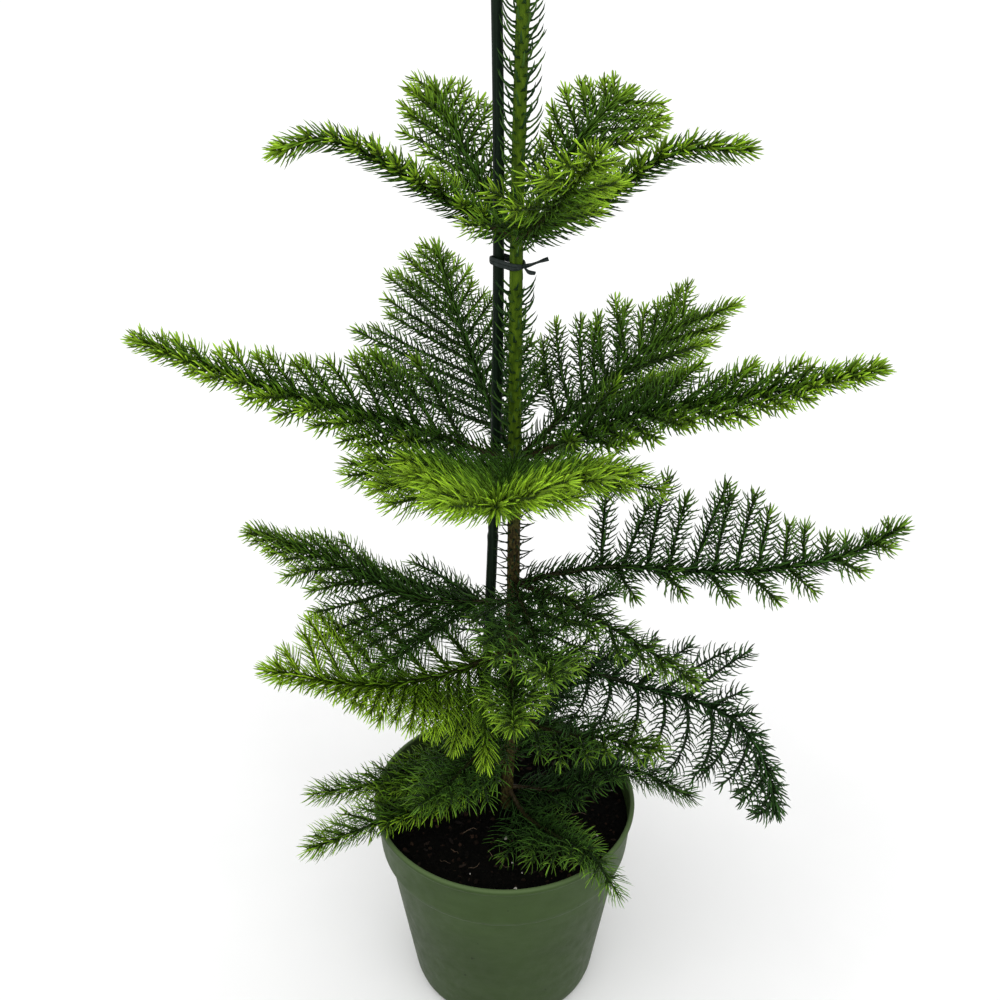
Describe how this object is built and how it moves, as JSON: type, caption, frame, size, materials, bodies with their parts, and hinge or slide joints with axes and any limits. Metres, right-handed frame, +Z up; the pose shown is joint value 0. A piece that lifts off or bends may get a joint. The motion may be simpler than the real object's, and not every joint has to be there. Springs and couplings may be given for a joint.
{
  "type": "potted conifer",
  "caption": "Young conifer with flat fern-like sprays in whorls up one straight stem, tied to a thin cane in a round tapered nursery pot; a small evergreen for a shelf or sill",
  "frame": {"origin": "centre of the pot's underside, on the surface that the pot stands on", "axes": "+Z up along the trunk, -Y towards the viewer, +X to the viewer's right"},
  "size_m": [0.4013, 0.3281, 0.599],
  "materials": {
    "pot": "satin moulded",
    "soil": "loose, rough, moist",
    "stake": "dyed, smooth",
    "tie": "smooth",
    "trunk": "green above, brown bark below",
    "foliage": "waxy, soft sheen"
  },
  "bodies": {
    "root": {"pot": "pot", "soil": "soil", "stake": "stake", "tie_upper": "tie", "trunk": "trunk", "spray_whorl_1_left": "foliage", "spray_whorl_1_back_left": "foliage", "spray_whorl_1_back_right": "foliage", "spray_whorl_1_right": "foliage", "spray_whorl_1_front": "foliage", "spray_whorl_2_left": "foliage", "spray_whorl_2_back_left": "foliage", "spray_whorl_2_back_right": "foliage", "spray_whorl_2_right": "foliage", "spray_whorl_2_front": "foliage", "spray_whorl_3_right": "foliage", "spray_whorl_3_front_right": "foliage", "spray_whorl_3_front": "foliage", "spray_whorl_3_left": "foliage", "spray_whorl_4_right": "foliage", "spray_whorl_4_back_right": "foliage", "spray_whorl_4_back_left": "foliage", "spray_whorl_4_front_left": "foliage", "spray_whorl_4_front": "foliage", "spray_whorl_5_front_right": "foliage", "spray_whorl_5_back_right": "foliage", "spray_whorl_5_back": "foliage", "spray_whorl_5_left": "foliage", "spray_whorl_5_front_left": "foliage", "spray_whorl_6_front_left": "foliage", "spray_whorl_6_left": "foliage", "spray_whorl_6_back_left": "foliage", "spray_whorl_6_back_right": "foliage", "spray_whorl_7_right": "foliage", "spray_whorl_7_front_right": "foliage"}
  },
  "joints": []
}
